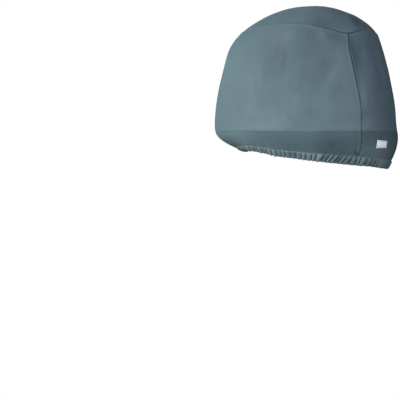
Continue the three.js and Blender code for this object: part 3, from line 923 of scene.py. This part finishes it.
def ring_faces(wide, narrow):
    """Faces from one ring of points to the next, which has as many points, half as many or one."""
    count = len(narrow)
    if count == 1:
        return [[wide[i], wide[(i + 1) % len(wide)], narrow[0]] for i in range(len(wide))]
    faces = []
    for i in range(count):
        d, e = narrow[i], narrow[(i + 1) % count]
        if count == len(wide):
            faces.append([wide[i], wide[(i + 1) % count], e, d])
        else:
            a, b, c = wide[2 * i], wide[2 * i + 1], wide[(2 * i + 2) % len(wide)]
            faces.extend([[a, b, d], [b, e, d], [b, c, e]])
    return faces


def sheet_object(name, grid, turned=()):
    """A closed sheet: its outer rows, any rows that round its lower edge, and its inner rows."""
    points = np.stack([*grid.outer, *turned, *grid.inner[::-1]])
    rows, width = points.shape[:2]
    index = np.arange(rows * width).reshape(rows, width)
    loop = np.concatenate([index, index[:1]])
    quads = np.stack([loop[:-1, :-1], loop[1:, :-1], loop[1:, 1:], loop[:-1, 1:]], -1)
    faces = quads.reshape(-1, 4).tolist()
    outer_rows = len(grid.outer)
    for i in range(outer_rows - 1):
        near, far = index[[i, rows - 1 - i]], index[[i + 1, rows - 2 - i]]
        faces.append([int(n) for n in (near[0, 0], near[1, 0], far[1, 0], far[0, 0])])
        faces.append([int(n) for n in (near[0, -1], far[0, -1], far[1, -1], near[1, -1])])
    if turned:
        rounding = index[outer_rows - 1 : rows - outer_rows + 1]
        faces.append(rounding[::-1, 0].tolist())
        faces.append(rounding[:, -1].tolist())
    beyond = np.arange(1, len(turned) + 1)[:, None, None] * (0, -HEM_TURN_PITCH)
    flats = np.concatenate([grid.flat, grid.flat[-1] + beyond, grid.flat[::-1]])
    paint = {}
    for key, (outer, inner) in grid.paint.items():
        values = np.concatenate([outer, np.repeat(outer[-1:], len(turned), axis=0), inner[::-1]])
        paint[key] = values.reshape(rows * width, *values.shape[2:])
    return new_object(name, points.reshape(-1, 3), faces, flats.reshape(-1, 2), paint)


# The crown
def crown_grid():
    """The crown's faces as rings from its seam to its highest point, each ring a row."""
    seam_levels = -SEAM_STEPS / CROWN_LENGTH
    count = round((1 + seam_levels[-1]) * CROWN_LENGTH / ROW_PITCH)
    inner_levels = np.linspace(seam_levels[-1], -1, count + 1)[1:]
    level = np.concatenate([seam_levels, inner_levels])[:, None]
    direction = np.linspace(-180, 180, CROWN_COLUMNS, endpoint=False)
    direction, level = np.broadcast_arrays(direction, level)
    smooth = skin(direction, level)
    normal = outward(direction, level)
    normal[-1] = (0, 0, 1)
    from_seam = run_along(smooth, 0)
    turn = np.radians(direction)
    flat = np.stack([np.cos(turn), np.sin(turn)], -1) * (from_seam[-1] - from_seam)[..., None]
    places = {"across": flat[..., 1], "down": flat[..., 0], "girth": 1, "run": 1}
    creases = summed(CROWN_CREASES, sharpness=CREASE_SHARPNESS, **places)
    body = ripples(flat, CROWN_SEED) * smoothstep(from_seam, 0, RIPPLE_CLEAR)
    body = body + creases * smoothstep(from_seam, 0, CROWN_CLEAR) + crown_puckers(turn, from_seam)
    # Painted shadow along the crown seam, and the crown's areas of painted light and shade
    tone = seam_tone(from_seam, 0) * crown_shadow_line(direction) + summed(CROWN_PAINTED_SHADING, **places)
    hue = hue_of(CROWN_HUES, **places)
    return SimpleNamespace(
        outer=smooth + normal * (body + plain_relief(from_seam))[..., None],
        inner=smooth + normal * (body - CLOTH)[..., None],
        flat=flat, paint={"tone": (tone, np.full_like(tone, INSIDE_TONE)), "hue": (hue, hue)},
    )


def crown_object(name, grid):
    """The crown as one closed sheet, with fewer columns in the rings near its highest point."""
    share = np.linspace(0, 1, len(grid.outer))
    points, flats, faces = [], [], []
    paint = {key: [] for key in grid.paint}
    for side, rings in enumerate((grid.outer, grid.inner)):
        before = None
        for i, ring in enumerate(rings):
            every = 2 ** sum(1 - share[i] < limit for limit in CROWN_HALVINGS)
            chosen = slice(0, 1) if i == len(rings) - 1 else slice(None, None, every)
            index = list(range(len(points), len(points) + len(ring[chosen])))
            points.extend(ring[chosen])
            flats.extend(grid.flat[i][chosen])
            for key, sides in grid.paint.items():
                paint[key].extend(sides[side][i][chosen])
            if before is not None:
                inward = ring_faces(before, index)
                faces.extend(inward if side == 0 else [face[::-1] for face in inward])
            before = index
    inner_start = len(points) // 2
    faces.extend(ring_faces(range(inner_start, inner_start + CROWN_COLUMNS), range(CROWN_COLUMNS)))
    paint = {key: np.array(values) for key, values in paint.items()}
    return new_object(name, points, faces, np.array(flats), paint)


# Stitches
def seam_rows(faces, distance):
    """Points and normals along a seam's rows of stitches. Each row of the faces runs from the seam."""
    lines = []
    for wanted in STITCH_ROWS:
        line = [[line_points(row, run, wanted) for row, run in zip(face, distance)] for face in faces]
        lines.append(np.array(line))
    return lines


def stitches(name, lines):
    """Rows of short sewn stitches, each one an arched thread, along lines of points and normals."""
    sides = np.linspace(0, 2 * math.pi, THREAD_SIDES, endpoint=False)
    points, faces = [], []
    for line, normal in lines:
        run = run_along(line, 0)
        middles = np.arange(STITCH_PITCH / 2, run[-1], STITCH_PITCH)
        back, place, front = (line_points(line, run, middles + step) for step in (-AIM_STEP, 0, AIM_STEP))
        up = unit(line_points(normal, run, middles))
        ahead = unit(front - back)
        beside = unit(np.cross(up, ahead))
        for origin, t, b, n in zip(place, ahead, beside, up):
            rings = []
            for along, rise, thick in zip(*STITCH_RINGS.values()):
                centre = origin + t * along * STITCH_LONG + n * rise * THREAD
                rings.append(list(range(len(points), len(points) + THREAD_SIDES)))
                for side in sides:
                    points.append(centre + (b * math.cos(side) + n * math.sin(side)) * thick * THREAD / 2)
            for ring, after in zip(rings, rings[1:]):
                faces.extend(ring_faces(ring, after))
            faces.extend([rings[0][::-1], rings[-1]])
    return new_object(name, points, faces)


# The label
def label_grid():
    """The label's faces as rows of points, with their flat places and tone."""
    x, y, _ = skin(LABEL_DIRECTION, LABEL_LEVEL)
    per_degree = math.radians(math.hypot(x + CROWN_SHIFT, y))
    share = np.linspace(0, 1, LABEL_COLUMNS)
    height = LABEL_PORT_HEIGHT + (LABEL_STARBOARD_HEIGHT - LABEL_PORT_HEIGHT) * share
    lower = np.linspace(-0.5, 0.5, LABEL_ROWS)[:, None] * height
    across = np.broadcast_to((share - 0.5) * LABEL_WIDTH, lower.shape)
    direction = LABEL_DIRECTION + across / per_degree
    level = LABEL_LEVEL + lower / skirt_value("drop", LABEL_DIRECTION)
    smooth = skin(direction, level)
    normal = outward(direction, level)
    edge = np.minimum(LABEL_WIDTH / 2 - np.abs(across), height / 2 - np.abs(lower))
    at_side = np.clip((np.abs(across) / LABEL_WIDTH * 2 - LABEL_CURL_FROM) / (1 - LABEL_CURL_FROM), 0, 1)
    corner = at_side * np.clip(lower / height * 2, 0, 1)
    off = LABEL_OFF + LABEL_CURL * corner**2
    off = off + LABEL_SWELL * smoothstep(edge, LABEL_STITCH_INSET, LABEL_SWELL_INSET)
    off = off - bell(edge - LABEL_STITCH_INSET, *LABEL_STITCH_DIP)
    tone = bell(edge - LABEL_STITCH_INSET, *LABEL_STITCH_SHADE)
    return SimpleNamespace(
        outer=smooth + normal * (off + LABEL_THICK)[..., None],
        inner=smooth + normal * off[..., None],
        normal=normal, flat=np.stack([across, -lower], -1), paint={"tone": (tone, tone)},
    )


def label_border(grid):
    """The line of stitches round the label, inside its edge, as four sides of points and normals."""
    aside = LABEL_STITCH_INSET / LABEL_WIDTH
    below = LABEL_STITCH_INSET / LABEL_PORT_HEIGHT
    corners = np.array([(below, aside), (below, 1 - aside), (1 - below, 1 - aside), (1 - below, aside)])
    lines = []
    for start, end in zip(corners, np.roll(corners, -1, axis=0)):
        places = np.linspace(start, end, LABEL_COLUMNS)
        lines.append([between(values, places) for values in (grid.outer, grid.normal)])
    return lines


def between(values, places):
    """A grid's values between its points, at shares of its rows and columns."""
    rows, columns = values.shape[:2]
    place = places * (rows - 1, columns - 1)
    corner = np.minimum(place.astype(int), (rows - 2, columns - 2))
    down, along = (place - corner).T[..., None]
    i, j = corner.T
    upper = values[i, j] * (1 - along) + values[i, j + 1] * along
    lower = values[i + 1, j] * (1 - along) + values[i + 1, j + 1] * along
    return upper * (1 - down) + lower * down


# Materials
class Nodes:
    """Adds shader nodes to a new material, each with its settings and its inputs by name or number."""

    def __init__(self, name):
        self.material = bpy.data.materials.new(name)
        self.material.use_nodes = True
        self.tree = self.material.node_tree
        self.tree.nodes.clear()

    def add(self, kind, settings=None, **inputs):
        node = self.tree.nodes.new("ShaderNode" + kind)
        for key, value in (settings or {}).items():
            setattr(node, key, value)
        for key, value in inputs.items():
            socket = node.inputs[int(key[1:])] if key[0] == "_" else node.inputs[key.replace("_", " ")]
            if isinstance(value, bpy.types.NodeSocket):
                self.tree.links.new(value, socket)
            else:
                socket.default_value = value
        return node

    def math(self, operation, a, b=0.0):
        return self.add("Math", {"operation": operation}, _0=a, _1=b).outputs[0]

    def mix(self, share, low, high):
        return self.add("Mix", {"data_type": "RGBA"}, _0=share, _6=low, _7=high).outputs[2]

    def ramp(self, value, low, high, to_low, to_high):
        ends = {"From_Min": low, "From_Max": high, "To_Min": to_low, "To_Max": to_high}
        return self.add("MapRange", Value=value, **ends).outputs[0]

    def noise(self, place, scale, detail, roughness, low=0.3, high=0.7, least=-1):
        """Noise whose middle part is spread from the least value up to 1."""
        noise = self.add("TexNoise", Vector=place, Scale=scale, Detail=detail, Roughness=roughness)
        return self.ramp(noise.outputs["Fac"], low, high, least, 1)

    def place(self):
        """Places in space, in the object's own metres."""
        return self.add("TexCoord").outputs["Object"]

    def flat(self, across=1, down=1):
        """Flat places on the cloth, times a scale across and down it."""
        flat = self.add("UVMap", {"uv_map": "flat"}).outputs[0]
        return self.add("Mapping", Vector=flat, Scale=(across, down, 1)).outputs[0]

    def yarns(self, axis, pitch):
        """A wave for each yarn that lies across one axis of the flat places."""
        split = self.add("SeparateXYZ", Vector=self.flat())
        return self.math("SINE", self.math("MULTIPLY", split.outputs[axis], 2 * math.pi / pitch))

    def painted(self, name, output):
        """One of the mesh's own attributes."""
        return self.add("Attribute", {"attribute_name": name}).outputs[output]

    def bump(self, height, strength, distance):
        return self.add("Bump", Strength=strength, Distance=distance, Height=height).outputs[0]

    def surface(self, colour, **inputs):
        """Ends the material with its surface."""
        return self.finish(self.add("BsdfPrincipled", Base_Color=colour, **inputs))

    def finish(self, shader):
        self.add("OutputMaterial", Surface=shader.outputs[0])
        return self.material


def cloth_material():
    """Coated polyester weave: faded and mottled, lighter where it is rubbed and where light is painted on,
    and darker where shade is painted on, as in its seams.
    """
    nodes = Nodes("coated_weave")
    weave = nodes.math("MULTIPLY", nodes.yarns(0, YARN), nodes.yarns(1, YARN))
    blotches = nodes.noise(nodes.place(), scale=7, detail=4, roughness=0.55)
    clouds = nodes.noise(nodes.place(), scale=22, detail=3, roughness=0.6)
    streaks = nodes.noise(nodes.flat(across=26, down=3), scale=1, detail=3, roughness=0.5)
    drawn_out = nodes.flat(across=60, down=900)
    slubs = nodes.noise(drawn_out, scale=1, detail=2, roughness=0.5, low=0.35, high=0.65)
    grain = nodes.noise(nodes.flat(), scale=700, detail=2, roughness=0.6)
    weights = (
        (blotches, 0.05), (clouds, 0.04), (streaks, 0.022), (slubs, 0.02), (grain, 0.03), (weave, 0.02),
    )
    shade = 1.0
    for part, weight in weights:
        shade = nodes.math("ADD", shade, nodes.math("MULTIPLY", part, weight))
    # The tone: lighter on worn strips and where light is painted on; darker where shade and shadow lines
    # are painted on, and on the inner faces
    tone = nodes.painted("tone", "Fac")
    worn = nodes.mix(nodes.ramp(tone, 0, 1, 0, 1), CLOTH_COLOUR, WORN_AND_LIT_COLOUR)
    dark = nodes.mix(nodes.ramp(tone, 0, -1, 0, 1), worn, DARK_COLOUR)
    hue = nodes.painted("hue", "Vector")
    hued = nodes.add("VectorMath", {"operation": "MULTIPLY"}, _0=dark, _1=hue).outputs[0]
    colour = nodes.add("VectorMath", {"operation": "SCALE"}, _0=hued, Scale=shade).outputs[0]
    height = nodes.math("ADD", nodes.math("MULTIPLY", weave, 0.5), nodes.math("MULTIPLY", grain, 0.35))
    return nodes.surface(
        colour, Roughness=nodes.ramp(clouds, -1, 1, 0.84, 0.94),
        Normal=nodes.bump(height, strength=0.35, distance=0.00012),
        Sheen_Weight=0.02, Sheen_Roughness=0.45, Specular_IOR_Level=0.08,
    )


def thread_material():
    """Polyester thread a little lighter than the cloth, uneven along its rows."""
    nodes = Nodes("sewing_thread")
    fibres = nodes.noise(nodes.place(), scale=1400, detail=2, roughness=0.6)
    fading = nodes.noise(nodes.place(), scale=30, detail=2, roughness=0.5, least=0)
    return nodes.surface(
        nodes.mix(fading, THREAD_COLOUR, FADED_THREAD_COLOUR), Roughness=0.6, Sheen_Weight=0.2,
        Normal=nodes.bump(fibres, strength=0.4, distance=0.0001),
    )


def label_material():
    """White satin ribbon with fine ribs, a little soiled, and with painted shade along its stitches."""
    nodes = Nodes("label_ribbon")
    soil = nodes.noise(nodes.place(), scale=60, detail=4, roughness=0.6, low=0.35, high=0.75, least=0)
    shaded = nodes.ramp(nodes.painted("tone", "Fac"), 0, -1, 0, 1)
    grey = nodes.math("ADD", nodes.math("MULTIPLY", soil, LABEL_SOIL), shaded)
    return nodes.surface(
        nodes.mix(grey, LABEL_COLOUR, SOILED_AND_SHADED_LABEL_COLOUR), Roughness=0.48, Sheen_Weight=0.1,
        Normal=nodes.bump(nodes.yarns(1, LABEL_RIB), strength=0.4, distance=0.00008),
    )


def studio_material():
    """The even white of the stage."""
    nodes = Nodes("studio_white")
    return nodes.finish(nodes.add("Emission", Color=STUDIO_COLOUR, Strength=1.0))


# The pieces
LOOK = {"cloth": cloth_material(), "thread": thread_material(), "label": label_material()}


def dress(piece, look):
    """Gives a piece its material, and lets it ride on the cover's one body."""
    piece.data.materials.append(LOOK[look])
    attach(piece, "root")
    return piece


def make_crown():
    crown = dress(crown_object("crown_cloth", crown_grid()), "cloth")
    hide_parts("top_panel")


def make_wall(node, panel):
    """A wall panel, with the stitches of its crown seam, of its strips if it has them and of its hem."""
    grid = panel_grid(panel)
    name = panel["piece"]
    wall = dress(sheet_object(name, grid, hem_turn(grid)), "cloth")
    faces = (grid.outer, grid.normal)
    sewing = {"crown_stitches": seam_rows([face.swapaxes(0, 1) for face in faces], grid.down.T)}
    if panel["strips"]:
        upright = seam_rows(faces, grid.across)
        upright += seam_rows([np.fliplr(face) for face in faces], np.fliplr(grid.from_end))
        sewing["upright_stitches"] = [line[:, : grid.neck_row + 1] for line in upright]
    sewing["hem_stitches"] = [[face[grid.neck_row + HEM_STITCH_ROW] for face in faces]]
    for ending, lines in sewing.items():
        dress(stitches(name.replace("cloth", ending), lines), "thread")
    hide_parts(node)


def make_label():
    grid = label_grid()
    label = dress(sheet_object("sewn_label", grid), "label")
    sewn = [dress(stitches("label_stitches", label_border(grid)), "thread")]
    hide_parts("label")


# The studio
def make_floor():
    turns = np.linspace(0, math.pi / 2, BACKDROP_TURN_STEPS + 1)
    reaches = [*(FLOOR_RADIUS - BACKDROP_TURN * (1 - np.sin(turns))), FLOOR_RADIUS]
    heights = [*(BACKDROP_TURN * (1 - np.cos(turns))), BACKDROP_HEIGHT]
    points, faces, inner = [(0, 0, FLOOR_LEVEL)], [], [0]
    for reach, height in zip(reaches, heights):
        ring = range(len(points), len(points) + FLOOR_SIDES)
        faces.extend(ring_faces(ring, inner))
        inner = ring
        for side in np.linspace(0, 2 * math.pi, FLOOR_SIDES, endpoint=False):
            points.append((reach * math.cos(side), reach * math.sin(side), FLOOR_LEVEL + height))
    floor = new_object("studio_floor", points, faces)
    floor.data.materials.append(studio_material())
    for name in ("diffuse", "glossy", "transmission", "volume_scatter", "shadow"):
        setattr(floor, "visible_" + name, False)


def look_from(obj, place, target):
    """Puts a light or camera at a place, looking at a target."""
    back = unit(np.array(place, float) - np.array(target, float))
    right = unit(np.cross([0, 0, 1], back))
    turn = np.stack([right, np.cross(back, right), back], -1)
    obj.matrix_world = Matrix.Translation(place) @ Matrix(turn.tolist()).to_4x4()


def heading(azimuth, elevation=0.0):
    """The direction to a place round the object: azimuth 0 is -Y and 90 is +X."""
    a, e = math.radians(azimuth), math.radians(elevation)
    return np.array([math.sin(a) * math.cos(e), -math.cos(a) * math.cos(e), math.sin(e)])


def make_lights():
    for i, row in enumerate(zip(*LIGHTS.values())):
        azimuth, elevation, distance, watts, *colour = row
        data = bpy.data.lights.new(f"softbox_{i + 1}", "AREA")
        data.energy = watts
        data.color = colour
        data.shape = "SQUARE"
        data.size = LIGHT_SIZE
        light = bpy.data.objects.new(data.name, data)
        bpy.context.scene.collection.objects.link(light)
        look_from(light, COVER_MIDDLE + heading(azimuth, elevation) * distance, COVER_MIDDLE)
    world = bpy.data.worlds.new("studio_air")
    world.use_nodes = True
    background = world.node_tree.nodes["Background"]
    background.inputs["Color"].default_value = WORLD_COLOUR
    background.inputs["Strength"].default_value = WORLD_STRENGTH
    bpy.context.scene.world = world
    bpy.context.scene.view_settings.view_transform = "Standard"


def make_camera():
    """The photograph's camera: level with the crease, with the cover right of its frame's middle."""
    focal = CAMERA_DISTANCE / METRES_PER_PIXEL
    data = bpy.data.cameras.new("photo_camera")
    data.sensor_width = SENSOR
    data.lens = focal * SENSOR / PHOTO_SIZE
    data.clip_end = CLIP_END
    camera = bpy.data.objects.new("photo_camera", data)
    bpy.context.scene.collection.objects.link(camera)
    place = CREASE_MIDDLE + heading(CAMERA_AZIMUTH) * CAMERA_DISTANCE
    below = PHOTO_SIZE / 2 - CREASE_ROW
    aside = MIDDLE_COLUMN - PHOTO_SIZE / 2
    pitch = math.atan2(below, focal)
    yaw = math.atan2(aside, math.hypot(focal, below))
    level = -heading(CAMERA_AZIMUTH)
    right = np.cross(level, [0, 0, 1])
    ahead = level * math.cos(yaw) - right * math.sin(yaw)
    look_from(camera, place, place + ahead * math.cos(pitch) - np.array([0, 0, math.sin(pitch)]))
    bpy.context.scene.camera = camera


make_crown()
for node, panel in PANELS.items():
    make_wall(node, panel)
make_label()
make_floor()
make_lights()
make_camera()

# Brings the scene up to date
bpy.context.view_layer.update()
